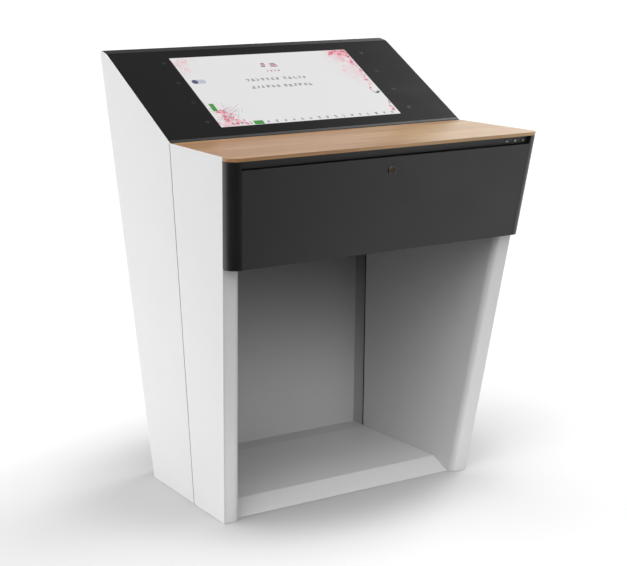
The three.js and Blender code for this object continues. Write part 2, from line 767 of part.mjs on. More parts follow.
// a flange outside the back frame, and a socket sunk through a window in it
function addPowerInlet() {
  const inlet = new THREE.Group();
  inlet.position.set(INLET.x, 0, INLET.z);
  back.add(inlet);
  const { width, height } = INLET;
  const depth = 20;
  const wall = 2;
  const flangePlate = extruded(roundedRectangle(-23, -13, 23, 13, 4), 3);
  const flange = reshaped(flangePlate, (x, z, out) => [x, GAP + out, z]);
  const sleeve = block(-width / 2, -depth, -height / 2, width / 2, 1, height / 2);
  const roomHalf = { x: width / 2 - wall, z: height / 2 - wall };
  const room = block(-roomHalf.x, wall - depth, -roomHalf.z, roomHalf.x, 10, roomHalf.z);
  const pins = [-6, 0, 6].map((x) => block(x - 1, 1 - depth, -2, x + 1, 13 - depth, 2));
  const socket = cut(joined(flange, sleeve), room);
  add('power_inlet', joined(socket, ...pins), blackPlastic, inlet);
}

const FAN_PLACE = { x: 170, z: DOOR_FOOT + DOOR_LENGTH - 90 };
const FAN_SIZE = 92;
const LOCK_PLACE = { x: DOOR_HALF_WIDTH - 34, z: DOOR_FOOT + DOOR_LENGTH / 2 };

function addDoor() {
  const foot = DOOR_FOOT;
  const head = DOOR_FOOT + DOOR_LENGTH;
  const half = DOOR_HALF_WIDTH;
  const slab = block(-half, -DOOR_FOLD, foot, half, 0, head);
  const pocket = block(-half + 2, -DOOR_FOLD - 5, foot + 2, half - 2, -2, head - 2);
  const slots = [];
  for (const centre of [-FAN_PLACE.x, FAN_PLACE.x]) {
    for (let row = 0; row < 8; row += 1) {
      const z = FAN_PLACE.z - 49 + row * 14;
      slots.push(facing(roundedRectangle(centre - 50, z - 2.5, centre + 50, z + 2.5, 2.4, 2), 30));
    }
  }
  slots.forEach((slot) => slot.translate(0, 15, 0));
  const lockBore = rod(LOCK_RADIUS - 3, 60, 24);
  lockBore.translate(LOCK_PLACE.x, 0, LOCK_PLACE.z);
  add('rear_door', cut(slab, pocket, lockBore, ...slots), whitePaint, back);
}

// a three-knuckle hinge; its pin is fixed in the frame leaf and the door leaf turns on it
function addHinge(label, z) {
  const axisX = -DOOR_HALF_WIDTH - DOOR_GAP / 2;
  const axisY = HINGE_RADIUS + 0.8;
  const third = HINGE_LENGTH / 3;
  const low = z - HINGE_LENGTH / 2;
  const high = z + HINGE_LENGTH / 2;
  const leafTop = 2.2;
  const upright = (radius, from, to) => {
    const barrel = rod(radius, to - from, 20);
    barrel.rotateX(Math.PI / 2);
    barrel.translate(axisX, axisY, (from + to) / 2);
    return barrel;
  };
  const clearance = HINGE_RADIUS + 0.8;

  const frameLeaf = block(axisX - HINGE_LEAF, GAP, low, axisX, leafTop, high);
  const notch = block(axisX - clearance, -1, low + third - GAP, axisX + 6, 12, high - third + GAP);
  const frameKnuckles = cut(joined(frameLeaf, upright(HINGE_RADIUS, low, high)), notch);
  const pin = upright(HINGE_PIN_RADIUS, low - 1, high + 1);
  add(`${label}_hinge_frame_leaf`, joined(frameKnuckles, pin), steel, back);

  const doorLeaf = block(axisX, GAP, low, axisX + HINGE_LEAF, leafTop, high);
  const reliefs = [[low - 1, low + third], [high - third, high + 1]].map(([from, to]) => (
    block(axisX - 6, -1, from, axisX + clearance, 12, to)
  ));
  const bore = upright(HINGE_PIN_RADIUS + 0.3, low - 10, high + 10);
  const doorBlank = joined(doorLeaf, upright(HINGE_RADIUS, low + third, high - third));
  add(`${label}_hinge_door_leaf`, cut(doorBlank, ...reliefs, bore), steel, back);
}

function addDoorLock() {
  const lock = new THREE.Group();
  lock.position.set(LOCK_PLACE.x, 0, LOCK_PLACE.z);
  back.add(lock);
  const barrelRadius = LOCK_RADIUS - 3.4;
  const inner = -18;
  const plugRadius = 6.5;
  const barrel = turned([
    [0, inner],
    [barrelRadius, inner],
    [barrelRadius, GAP],
    [LOCK_RADIUS - 1, GAP],
    [LOCK_RADIUS - 1, 1.6],
    [LOCK_RADIUS - 2, 2.4],
    [0, 2.4],
  ], 32);
  add('door_lock_barrel', cut(barrel, rod(plugRadius + GAP, 80, 24)), chrome, lock);

  // the plug and its cam turn together, and a quarter turn from rest brings the cam behind the frame
  const plug = turned([[0, inner - 1], [plugRadius, inner - 1], [plugRadius, 2.6], [0, 2.6]], 24);
  add('door_lock_plug', cut(plug, block(-0.8, -6, -4, 0.8, 6, 4)), brass, lock);
  const arm = roundedRectangle(-7, -7, 7, 44, 6.9, 5);
  const cam = facing(arm, 2.5);
  cam.translate(0, inner - 1 - GAP, 0);
  add('door_lock_cam', cam, steel, lock);
}

function addFan() {
  const frame = new THREE.Group();
  frame.position.set(FAN_PLACE.x, -2 - GAP, FAN_PLACE.z);
  back.add(frame);
  const half = FAN_SIZE / 2;
  const depth = 25;
  const bore = arc(0, 0, half - 3, 360, 0, 40).slice(0, -1);
  const housing = facing(roundedRectangle(-half, -half, half, half, 8), depth, [bore]);
  const spokes = [];
  for (let i = 0; i < 3; i += 1) {
    const spoke = block(-3, -3, 0, 3, 0, half);
    spoke.rotateY((i * 2 * Math.PI) / 3 + 0.5);
    spokes.push(spoke);
  }
  const boss = rod(20, 3, 32);
  boss.translate(0, -1.5, 0);
  add('fan_housing', joined(housing, boss, ...spokes), blackPlastic, frame);

  const bladeCount = 7;
  const blades = [];
  for (let i = 0; i < bladeCount; i += 1) {
    const blade = block(-12, -0.8, 14, 12, 0.8, half - 6);
    blade.rotateZ(0.6);
    blade.rotateY((i * 2 * Math.PI) / bladeCount);
    blade.translate(0, -13, 0);
    blades.push(blade);
  }
  const hub = rod(19, 18, 32);
  hub.translate(0, -13, 0);
  add('fan_rotor', joined(hub, ...blades), blackPlastic, frame);
}

addBackFrame();
addPowerInlet();
addDoor();
addHinge('lower', DOOR_FOOT + 60);
addHinge('upper', DOOR_FOOT + DOOR_LENGTH - 60);
addDoorLock();
addFan();

// ---------------------------------------------------------------- origin at the centre of the footprint box

const frontmost = faceY(DESK_HEIGHT);
const rearmost = kneeBackY(HOUSING_BOTTOM - 0.5) + 2;
lectern.position.y = -(frontmost + rearmost) / 2;

export default lectern;
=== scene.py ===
import json
import math
import random

import bmesh
import bpy
from mathutils import Matrix, Vector


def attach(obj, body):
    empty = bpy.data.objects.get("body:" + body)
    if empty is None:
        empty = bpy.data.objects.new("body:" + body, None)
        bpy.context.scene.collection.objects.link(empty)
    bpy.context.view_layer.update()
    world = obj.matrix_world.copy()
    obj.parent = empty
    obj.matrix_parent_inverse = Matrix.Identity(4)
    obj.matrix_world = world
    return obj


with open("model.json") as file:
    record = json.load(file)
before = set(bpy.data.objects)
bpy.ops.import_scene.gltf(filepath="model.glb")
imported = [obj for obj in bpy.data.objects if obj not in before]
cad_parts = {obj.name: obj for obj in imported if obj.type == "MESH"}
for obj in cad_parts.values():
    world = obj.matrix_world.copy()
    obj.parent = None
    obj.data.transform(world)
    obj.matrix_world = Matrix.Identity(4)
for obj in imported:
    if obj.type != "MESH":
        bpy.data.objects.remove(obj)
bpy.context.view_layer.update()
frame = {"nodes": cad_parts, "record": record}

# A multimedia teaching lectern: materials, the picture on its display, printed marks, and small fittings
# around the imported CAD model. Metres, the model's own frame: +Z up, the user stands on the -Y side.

NODES = frame["nodes"]

# ------------------------------------------------------------------ dimensions repeated from the CAD source

MM = 0.001
SHIFT_Y = -162.319  # the CAD model's y shift, in mm
SLOPE_FOOT = (125.6, 904.0)
SLOPE_HEAD = (453.0, 1087.5)
SLOPE_ANGLE = math.atan2(SLOPE_HEAD[1] - SLOPE_FOOT[1], SLOPE_HEAD[0] - SLOPE_FOOT[0])
FRONT_LEAN = 0.1537
FRONT_ANGLE = math.atan(FRONT_LEAN)
OVERHANG = 36.0
SCREEN_HALF_WIDTH = 263.5
SCREEN_FOOT = 45.4
SCREEN_HEIGHT = 296.5
BUTTON_HEIGHT = 884.8
BUTTON_PLACES = (344.0, 369.5, 395.0)
STRIP_RECESS = 12.0
FOOT_HALF_WIDTH = 364.6
TOE_IN = 0.0462
GROOVE_FOOT_Y = 159.7
KNEE_HALF_WIDTH = 311.0
FLARE = 0.0735
FOOT_DEPTH = 391.5
BACK_LEAN = 0.0854
KNEE_LOW = 26.6
KNEE_HIGH = 641.0


def on_slope(x, up, out=0.0):
    """A point on the console slope: across, up the slope and out of it, in mm."""
    y = SLOPE_FOOT[0] + up * math.cos(SLOPE_ANGLE) - out * math.sin(SLOPE_ANGLE) + SHIFT_Y
    z = SLOPE_FOOT[1] + up * math.sin(SLOPE_ANGLE) + out * math.cos(SLOPE_ANGLE)
    return Vector((x, y, z)) * MM


def face_y(z):
    return -FRONT_LEAN * z - OVERHANG + SHIFT_Y


# ------------------------------------------------------------------ material graphs

RANGE_SOCKETS = ("From Min", "From Max", "To Min", "To Max")


class Graph:
    """Builds one node material around a Principled shader, in the object's own coordinates."""

    def __init__(self, name):
        self.material = bpy.data.materials.new(name)
        self.material.use_nodes = True
        self.tree = self.material.node_tree
        self.shader = self.tree.nodes["Principled BSDF"]
        self.coords = self.node("ShaderNodeTexCoord").outputs["Object"]

    def node(self, kind, **settings):
        made = self.tree.nodes.new(kind)
        for key, value in settings.items():
            setattr(made, key, value)
        return made

    def put(self, socket, value):
        if isinstance(value, bpy.types.NodeSocket):
            self.tree.links.new(value, socket)
        else:
            socket.default_value = value

    def stretched(self, scale):
        mapping = self.node("ShaderNodeMapping")
        self.put(mapping.inputs["Vector"], self.coords)
        mapping.inputs["Scale"].default_value = scale
        return mapping.outputs["Vector"]

    def noise(self, scale, detail=4.0, roughness=0.5, coords=None, distortion=0.0):
        made = self.node("ShaderNodeTexNoise")
        self.put(made.inputs["Vector"], coords or self.coords)
        made.inputs["Scale"].default_value = scale
        made.inputs["Detail"].default_value = detail
        made.inputs["Roughness"].default_value = roughness
        made.inputs["Distortion"].default_value = distortion
        return made.outputs["Fac"]

    def ramp(self, factor, stops):
        made = self.node("ShaderNodeValToRGB")
        self.put(made.inputs["Fac"], factor)
        ramp = made.color_ramp
        while len(ramp.elements) < len(stops):
            ramp.elements.new(0.5)
        for element, (place, colour) in zip(ramp.elements, stops):
            element.position = place
            element.color = (*colour, 1.0) if len(colour) == 3 else colour
        return made.outputs["Color"]

    def span(self, value, low, high, to_low, to_high):
        made = self.node("ShaderNodeMapRange")
        self.put(made.inputs["Value"], value)
        for key, number in zip(RANGE_SOCKETS, (low, high, to_low, to_high)):
            self.put(made.inputs[key], number)
        return made.outputs["Result"]

    def ease(self, value, low, high, to_low, to_high):
        made = self.node("ShaderNodeMapRange", interpolation_type="SMOOTHSTEP")
        self.put(made.inputs["Value"], value)
        for key, number in zip(RANGE_SOCKETS, (low, high, to_low, to_high)):
            made.inputs[key].default_value = number
        return made.outputs["Result"]

    def mix(self, factor, first, second, blend="MIX"):
        made = self.node("ShaderNodeMix", data_type="RGBA", blend_type=blend)
        self.put(made.inputs["Factor"], factor)
        self.put(made.inputs["A"], first)
        self.put(made.inputs["B"], second)
        return made.outputs["Result"]

    def calc(self, operation, first, second=0.0):
        made = self.node("ShaderNodeMath", operation=operation)
        self.put(made.inputs[0], first)
        self.put(made.inputs[1], second)
        return made.outputs["Value"]

    def axis(self, name):
        made = self.node("ShaderNodeSeparateXYZ")
        self.put(made.inputs["Vector"], self.coords)
        return made.outputs[name]

    def facing(self, name):
        """One component of the surface normal, in the object's own coordinates."""
        made = self.node("ShaderNodeSeparateXYZ")
        self.put(made.inputs["Vector"], self.node("ShaderNodeTexCoord").outputs["Normal"])
        return made.outputs[name]

    def bump(self, height, strength, distance, under=None):
        made = self.node("ShaderNodeBump")
        self.put(made.inputs["Height"], height)
        made.inputs["Strength"].default_value = strength
        made.inputs["Distance"].default_value = distance
        if under is not None:
            self.put(made.inputs["Normal"], under)
        return made.outputs["Normal"]

    def finish(self, **inputs):
        for key, value in inputs.items():
            self.put(self.shader.inputs[key.replace("_", " ")], value)
        return self.material


def rgb(code):
    """Linear colour from a six-digit sRGB code."""
    parts = [int(code[i : i + 2], 16) / 255 for i in (0, 2, 4)]
    return tuple(c / 12.92 if c <= 0.04045 else ((c + 0.055) / 1.055) ** 2.4 for c in parts)


def rgba(code):
    return (*rgb(code), 1.0)


SHADOW = rgba("202020")


def powder_coat(name, code, roughness, peel, mottle, dust=0.0, shade=0.0, side_shade=0.0):
    """Sprayed and baked paint: a fine orange peel, a slight mottle, and a little dust low down.

    shade and side_shade paint the knee space's shadow into the colour: it is not a property of the paint
    and stays when the light changes. shade darkens faces turned to the user, more so higher up, and
    side_shade darkens faces turned to the middle."""
    g = Graph(name)
    broad = g.noise(3.0, 3.0)
    fine = g.noise(420.0, 2.0, 0.6)
    grit = g.noise(1500.0, 2.0, 0.7)
    light = tuple(min(1.0, c * (1 + mottle)) for c in rgb(code))
    dark = tuple(c * (1 - mottle) for c in rgb(code))
    colour = g.ramp(broad, [(0.3, dark), (0.7, light)])
    if dust:
        height = g.axis("Z")
        scuff = g.calc("MULTIPLY", g.span(height, 0.0, 0.09, dust, 0.0), g.noise(22.0, 6.0, 0.65))
        colour = g.mix(scuff, colour, rgba("8c8880"))
    if shade:
        forwards = g.span(g.facing("Y"), -0.3, 0.3, 1.0, 0.0)
        height = g.ease(g.axis("Z"), 0.12, 0.62, 0.0, shade)
        colour = g.mix(g.calc("MULTIPLY", forwards, height), colour, SHADOW)
    if side_shade:
        inwards = g.span(g.calc("MULTIPLY", g.facing("X"), g.axis("X")), -0.25, -0.1, 1.0, 0.0)
        colour = g.mix(g.calc("MULTIPLY", inwards, side_shade), colour, SHADOW)
    normal = g.bump(fine, peel, 0.0004)
    normal = g.bump(grit, peel * 0.5, 0.0001, normal)
    rough = g.span(g.noise(9.0, 4.0), 0.3, 0.7, roughness - 0.05, roughness + 0.06)
    return g.finish(Base_Color=colour, Roughness=rough, Normal=normal)


def oak(name):
    """Light oak veneer, grain along X: broad figure, growth bands and fine pores.

    The tone is painted paler towards the right: painted light across the board, not a tone of its timber."""
    g = Graph(name)
    across = g.axis("X")
    figure = g.noise(2.6, 2.0, 0.45, g.stretched((0.55, 3.2, 3.2)), 0.6)
    # painted light: the tone grows paler towards the right
    painted_light = g.ease(across, -0.02, 0.2, -0.035, 0.09)
    tone = g.calc("ADD", figure, painted_light)
    base = g.ramp(tone, [(0.36, rgb("a5784f")), (0.5, rgb("ad8259")), (0.62, rgb("bd9a6d"))])
    bands = g.node("ShaderNodeTexWave", wave_type="BANDS", bands_direction="Y", wave_profile="SAW")
    g.put(bands.inputs["Vector"], g.stretched((0.7, 5.0, 5.0)))
    bands.inputs["Scale"].default_value = 2.4
    bands.inputs["Distortion"].default_value = 6.5
    bands.inputs["Detail"].default_value = 3.0
    bands.inputs["Detail Scale"].default_value = 0.7
    streaks = g.noise(14.0, 4.0, 0.6, g.stretched((0.25, 4.0, 4.0)))
    pores = g.noise(60.0, 5.0, 0.65, g.stretched((0.35, 14.0, 14.0)))
    flecks = g.noise(160.0, 2.0, 0.5, g.stretched((0.12, 3.0, 3.0)))
    grain = g.mix(g.calc("MULTIPLY", bands.outputs["Fac"], 0.22), base, rgba("8a5f3a"))
    grain = g.mix(g.span(streaks, 0.42, 0.7, 0.0, 0.4), grain, rgba("8e6540"))
    grain = g.mix(g.span(streaks, 0.52, 0.3, 0.0, 0.3), grain, rgba("d2b184"))
    grain = g.mix(g.span(pores, 0.5, 0.72, 0.0, 0.25), grain, rgba("7a5433"))
    grain = g.mix(g.span(flecks, 0.6, 0.8, 0.0, 0.18), grain, rgba("dcc098"))
    rough = g.span(pores, 0.3, 0.7, 0.28, 0.40)
    normal = g.bump(pores, 0.12, 0.0003)
    g.shader.inputs["Coat Weight"].default_value = 0.15
    g.shader.inputs["Coat Roughness"].default_value = 0.3
    return g.finish(Base_Color=grain, Roughness=rough, Normal=normal)


def moulded(name, code, roughness, texture=0.15, scale=900.0):
    """Moulded plastic with a fine spark-eroded texture."""
    g = Graph(name)
    fine = g.noise(scale, 3.0, 0.6)
    base = rgb(code)
    dark = tuple(c * 0.9 for c in base)
    light = tuple(c * 1.1 for c in base)
    colour = g.ramp(g.noise(14.0, 4.0), [(0.3, dark), (0.7, light)])
    rough = g.span(g.noise(40.0, 4.0), 0.3, 0.7, roughness - 0.05, roughness + 0.06)
    return g.finish(Base_Color=colour, Roughness=rough, Normal=g.bump(fine, texture, 0.0002))


def metal(name, code, roughness, stretch=(1, 1, 1), scale=300.0, brush=0.1):
    """Plated or turned metal, with fine working marks along one direction."""
    g = Graph(name)
    marks = g.noise(scale, 4.0, 0.7, g.stretched(stretch))
    patches = g.noise(30.0, 4.0, 0.6)
    base = rgb(code)
    colour = g.ramp(patches, [(0.3, tuple(c * 0.88 for c in base)), (0.7, base)])
    rough = g.span(marks, 0.3, 0.7, roughness * 0.75, roughness * 1.25)
    g.shader.inputs["Metallic"].default_value = 1.0
    return g.finish(Base_Color=colour, Roughness=rough, Normal=g.bump(marks, brush, 0.0001))


def touch_glass(name):
    """Back-painted cover glass: near black, polished, with the faintest wipe marks."""
    g = Graph(name)
    smears = g.noise(6.0, 5.0, 0.6, g.stretched((1.0, 2.5, 2.5)))
    colour = g.ramp(g.noise(2.0), [(0.3, rgb("0c0c0c")), (0.7, rgb("0f0f0f"))])
    rough = g.span(smears, 0.35, 0.75, 0.07, 0.13)
    g.shader.inputs["IOR"].default_value = 1.5
    return g.finish(Base_Color=colour, Roughness=rough)


def lit(name, code, glow, blush=False):
    """A colour shown by the display, glowing softly behind the glass."""
    g = Graph(name)
    colour = rgba(code)
    if blush:
        wash = g.calc("MULTIPLY", corner_wash(g), g.span(g.noise(26.0, 6.0, 0.7), 0.42, 0.7, 0.0, 1.0))
        colour = g.mix(wash, colour, rgba("e8a9b4"))
    else:
        dimmer = (*[c * 0.86 for c in rgb(code)], 1)
        colour = g.mix(g.span(g.noise(90.0, 3.0), 0.3, 0.7, 0.0, 0.18), colour, dimmer)
    g.shader.inputs["Emission Strength"].default_value = glow
    dim = g.mix(1.0, colour, (0.12, 0.12, 0.12, 1.0), "MULTIPLY")
    g.shader.inputs["IOR"].default_value = 1.5
    rough = g.span(g.noise(6.0, 5.0), 0.35, 0.75, 0.07, 0.13)
    return g.finish(Base_Color=dim, Emission_Color=colour, Roughness=rough)


def corner_wash(g):
    """1 near three corners of the picture, falling to 0 towards its middle."""
    across = g.axis("X")
    height = g.axis("Z")
    low = on_slope(0, SCREEN_FOOT).z
    high = on_slope(0, SCREEN_FOOT + SCREEN_HEIGHT).z
    half = SCREEN_HALF_WIDTH * MM
    right = g.span(across, half - 0.09, half, 0.0, 1.0)
    left = g.span(across, -half + 0.08, -half, 0.0, 1.0)
    top = g.span(height, high - 0.09, high, 0.0, 1.0)
    bottom = g.span(height, low + 0.06, low, 0.0, 1.0)
    upper = g.calc("MULTIPLY", right, top)
    lower = g.calc("MULTIPLY", left, bottom)
    far = g.calc("MULTIPLY", left, g.span(height, high - 0.045, high, 0.0, 1.0))
    far = g.calc("MULTIPLY", far, 0.7)
    return g.calc("MULTIPLY", g.calc("ADD", g.calc("ADD", upper, lower), far), 1.7)


WHITE = powder_coat("white_powder_coat", "d8d8d8", 0.45, 0.05, 0.008, dust=0.05)
BLACK = powder_coat("black_powder_coat", "1c1c1c", 0.40, 0.12, 0.05)
# copies of the white coat with painted shade: the knee box's is painted a darker grey and darkened further
# inside the knee space, the legs' are darkened on their inner walls
KNEE_SHADED_WHITE = powder_coat(
    "knee_painted_shade_coat", "cecece", 0.5, 0.05, 0.008, dust=0.05, shade=0.75, side_shade=0.35
)
LEG_SHADED_WHITE = powder_coat("leg_painted_shade_coat", "d8d8d8", 0.45, 0.05, 0.008, dust=0.05, side_shade=0.22)
GREY = powder_coat("grey_powder_coat", "9a9da1", 0.45, 0.08, 0.02)
OAK = oak("oak_veneer")
GLASS = touch_glass("touch_glass_black")
PLASTIC = moulded("black_moulding", "1c1c1c", 0.42)
KEY = moulded("key_moulding", "303030", 0.38, 0.1)
RUBBER = moulded("glide_rubber", "1a1a1a", 0.8, 0.3, 500.0)
ZINC = metal("zinc_plate", "b4b7bb", 0.34, (1, 0.1, 1))
CHROME = metal("chrome_plate", "d8dadc", 0.12, (1, 1, 1), 200.0, 0.02)
BRASS = metal("turned_brass", "c2a25c", 0.26, (1, 1, 6), 260.0, 0.05)
TOP_CAP = powder_coat("black_gloss_coat", "0a0a0a", 0.20, 0.03, 0.05)
CAP_BLACK = powder_coat("cap_powder_coat", "191919", 0.34, 0.06, 0.05)
# painted light: the control strip's black is painted lighter, standing in for light on the recessed strip
STRIP_LIT_BLACK = powder_coat("strip_painted_light_coat", "303030", 0.40, 0.08, 0.05)
DARK_NICKEL = metal("dark_nickel", "4c4a48", 0.22, (1, 1, 6), 260.0, 0.05)
DARK_BRONZE = metal("dark_bronze", "4a3a28", 0.3, (1, 1, 6), 260.0, 0.05)

FINISH = {
    "white_paint": WHITE,
    "black_paint": BLACK,
    "timber": OAK,
    "black_glass": GLASS,
    "black_plastic": PLASTIC,
    "key_plastic": KEY,
    "zinc_steel": ZINC,
    "chrome_plate": CHROME,
    "lock_brass": BRASS,
    "grey_paint": GREY,
    "glide_rubber": RUBBER,
}

# pieces with a finish of their own: the lock parts and black coats differ from their slot's finish; the
# control strip's black is painted lighter (painted light), and the knee back box and leg shells carry
# painted shade
SPECIAL = {
    "top_cap": TOP_CAP,
    "left_corner_cap": CAP_BLACK,
    "right_corner_cap": CAP_BLACK,
    "control_strip": STRIP_LIT_BLACK,
    "knee_back_box": KNEE_SHADED_WHITE,
    "left_leg_shell": LEG_SHADED_WHITE,
    "right_leg_shell": LEG_SHADED_WHITE,
    "drawer_lock_barrel": DARK_NICKEL,
    "drawer_lock_plug": DARK_BRONZE,
}

for part in frame["record"]["subparts"]:
    piece = NODES[part["node"]]
    finish = SPECIAL.get(part["node"], FINISH[part["material_slot"]])
    piece.data.materials.clear()
    piece.data.materials.append(finish)
    for polygon in piece.data.polygons:
        polygon.use_smooth = True
    piece.data.set_sharp_from_angle(angle=math.radians(28))


# ------------------------------------------------------------------ added pieces


def add_piece(name, mesh, material, body):
    """Turns a finished bmesh into a piece that rides on a body."""
    bmesh.ops.recalc_face_normals(mesh, faces=mesh.faces)
    data = bpy.data.meshes.new(name)
    mesh.to_mesh(data)
    mesh.free()
    data.materials.append(material)
    piece = bpy.data.objects.new(name, data)
    bpy.context.scene.collection.objects.link(piece)
    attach(piece, body)


def closed_plate(name, outlines, place, thickness, material, body):
    """Thin closed plates with given outlines; place(u, v, out) puts a point in the model's frame."""
    mesh = bmesh.new()
    for outline in outlines:
        low = [mesh.verts.new(place(u, v, 0.0)) for u, v in outline]
        high = [mesh.verts.new(place(u, v, thickness)) for u, v in outline]
        mesh.faces.new(high)
        mesh.faces.new(list(reversed(low)))
        for i in range(len(outline)):
            j = (i + 1) % len(outline)
            mesh.faces.new((low[i], low[j], high[j], high[i]))
    add_piece(name, mesh, material, body)


def bar(u, v, width, height, steps=4):
    """A bar with round ends."""
    radius = min(width, height) / 2 * 0.98
    right = u + width / 2 - radius
    left = u - width / 2 + radius
    low = v - height / 2 + radius
    high = v + height / 2 - radius
    centres = ((right, low, -90), (right, high, 0), (left, high, 90), (left, low, 180))
    points = []
    for cu, cv, start in centres:
        for i in range(steps + 1):
            angle = math.radians(start + 90 * i / steps)
            points.append((cu + radius * math.cos(angle), cv + radius * math.sin(angle)))
    return points


def disc(u, v, radius, sides=12, squash=1.0, turn=0.0):
    points = []
    for i in range(sides):
        angle = 2 * math.pi * i / sides
        a = radius * math.cos(angle)
        b = radius * squash * math.sin(angle)
        across = a * math.cos(turn) - b * math.sin(turn)
        along = a * math.sin(turn) + b * math.cos(turn)
        points.append((u + across, v + along))
    return points


def box_outline(u0, v0, u1, v1):
    return [(u0, v0), (u1, v0), (u1, v1), (u0, v1)]


# ------------------------------------------------------------------ the picture on the display


def slope_layer(base):
    return lambda u, v, out: on_slope(u, SCREEN_FOOT + v, base + out)


def blossom(rng, u, v, size):
    """Five petals round a centre."""
    turn = rng.uniform(0, 2 * math.pi)
    petals = []
    for i in range(5):
        angle = turn + 2 * math.pi * i / 5
        petal_u = u + size * math.cos(angle)
        petal_v = v + size * math.sin(angle)
        petals.append(disc(petal_u, petal_v, size * 0.72, 8, 0.8, angle))
    return petals


def stroke(u0, v0, u1, v1, width):
    """A straight brush stroke, thinner at its end."""
    length = math.hypot(u1 - u0, v1 - v0)
    a = -(v1 - v0) / length * width / 2
    b = (u1 - u0) / length * width / 2
    thick = [(u0 + a, v0 + b), (u0 - a, v0 - b)]
    thin = [(u1 - a * 0.5, v1 - b * 0.5), (u1 + a * 0.5, v1 + b * 0.5)]
    return thick + thin


def greeked(rng, u, v, width, height, rows):
    """Short level bars, one above another: the usual stand-in for a written sign."""
    marks = []
    pitch = height / rows
    for i in range(rows):
        reach = width * rng.uniform(0.45, 1.0)
        shift = rng.uniform(-0.5, 0.5) * (width - reach)
        marks.append(bar(u + shift, v + (i - (rows - 1) / 2) * pitch, reach, pitch * 0.62, 2))
    return marks


def twig(rng, u, v, heading, length, width, lines):
    """A thin wandering branch; its points are returned for blossom to sit on."""
    points = []
    steps = max(2, int(length / 9))
    for i in range(steps):
        heading += rng.uniform(-0.35, 0.35)
        nu = u + math.cos(heading) * length / steps
        nv = v + math.sin(heading) * length / steps
        lines.append(stroke(u, v, nu, nv, width * (1 - 0.6 * i / steps)))
        u, v = nu, nv
        points.append((u, v))
    return points


def inside_picture(outline):
    half = SCREEN_HALF_WIDTH - 0.5
    return all(-half < u < half and 0.5 < v < SCREEN_HEIGHT - 0.5 for u, v in outline)


def spray(rng, places, spread, count, sizes, light, dark):
    """Blossom scattered round the given places."""
    for _ in range(count):
        u, v = rng.choice(places)
        flower = blossom(rng, rng.gauss(u, spread), rng.gauss(v, spread), rng.uniform(*sizes))
        (light if rng.random() < 0.55 else dark).extend(petal for petal in flower if inside_picture(petal))


def add_picture():
    page_colour = lit("picture_page", "e7e7e7", 0.81, blush=True)
    ink = lit("picture_ink", "77797d", 0.75)
    bark = lit("picture_bark", "8d8487", 0.8)
    rose = lit("picture_rose", "a34f6b", 0.75)
    pink = lit("picture_pink", "ecb4bd", 0.85)
    deep_pink = lit("picture_deep_pink", "d97086", 0.85)
    green = lit("picture_green", "4f9a4c", 0.8)
    slate = lit("picture_slate", "5a5f7a", 0.8)
    pale_slate = lit("picture_pale_slate", "c3c7d6", 0.8)
    half = SCREEN_HALF_WIDTH
    height = SCREEN_HEIGHT
    layer = slope_layer(0.02)
    lowest = slope_layer(0.12)
    above = slope_layer(0.2)
    top = slope_layer(0.28)
    rng = random.Random(4)

    def show(name, outlines, place, thickness, material):
        closed_plate(name, outlines, place, thickness, material, "cabinet")

    show("picture_page", [box_outline(-half, 0, half, height)], layer, 0.08, page_colour)

    # stand-ins for a title, a small line under it and two lines of writing
    title = greeked(rng, -15, 246, 23, 19, 3) + greeked(rng, 13, 244, 23, 17, 3)
    for i in range(4):
        title += greeked(rng, -17 + 11 * i, 219, 7, 7, 2)
    show("picture_title", title, above, 0.06, rose)
    lines = []
    for v, gap in ((184, 6), (152, 5)):
        u = -94
        for i in range(12):
            lines += greeked(rng, u, v + rng.uniform(-1.0, 1.0), 11, 11, 3)
            u += 22 if i == gap else 14.6
    show("picture_lines", lines, above, 0.06, ink)

    toolbar = []
    for i in range(20):
        u = -226 + 24.6 * i
        if not -176 < u < -134:
            toolbar += greeked(rng, u, 9, 9, rng.uniform(7, 11), 2 if i % 3 else 3)
    show("picture_toolbar", toolbar, above, 0.06, ink)

    tabs = [box_outline(-252, 65, -239, 96), box_outline(-168, 1, -141, 16)]
    show("picture_tabs", tabs, above, 0.06, green)
    show("picture_toggle", [bar(-231, 190, 40, 17)], above, 0.06, pale_slate)
    knob = [disc(-242, 190, 8.6, 20)]
    show("picture_toggle_knob", knob, top, 0.06, slate)

    # abstract sprays of blossom in the corners
    branches = []
    light = []
    dark = []
    right_edge = [(258, 285), (255, 262), (251, 240), (254, 218), (256, 196)]
    right_edge += [(253, 175), (248, 155), (244, 137), (241, 120)]
    hanging = [(238, 268), (228, 245), (218, 222), (211, 200)]
    top_edge = twig(rng, 258, 290, 3.0, 52, 2.0, branches)
    left_foot = twig(rng, -258, 78, -1.1, 78, 2.0, branches)
    left_foot += twig(rng, -255, 30, -0.1, 70, 1.6, branches)
    right_foot = twig(rng, 262, 62, -2.0, 44, 1.8, branches)
    left_head = [(-240, 282), (-228, 278), (-236, 262), (-233, 246)]
    spray(rng, right_edge, 4.5, 60, (1.2, 2.7), light, dark)
    spray(rng, hanging, 4, 20, (1.0, 1.8), light, light)
    spray(rng, right_edge[:2] + top_edge, 8, 54, (1.5, 3.2), light, dark)
    spray(rng, left_foot, 9, 52, (1.3, 3.2), light, dark)
    spray(rng, right_foot, 4, 14, (1.2, 2.8), light, dark)
    spray(rng, left_head, 6, 18, (1.0, 1.8), light, light)
    for _ in range(22):
        start = (rng.gauss(-225, 20), rng.gauss(35, 18))
        end = (rng.gauss(-215, 22), rng.gauss(55, 22))
        reach = stroke(*start, *end, 0.9)
        if inside_picture(reach):
            branches.append(reach)
    branches = [line for line in branches if inside_picture(line)]
    blot = [disc(252, 98, 9, 14, 0.45, 0.6), stroke(246, 94, 238, 104, 4)]
    show("picture_branches", branches, lowest, 0.05, bark)
    show("picture_blot", blot, above, 0.05, ink)
    show("picture_petals_light", light, above, 0.05, pink)
    show("picture_petals_dark", dark, top, 0.05, deep_pink)


add_picture()


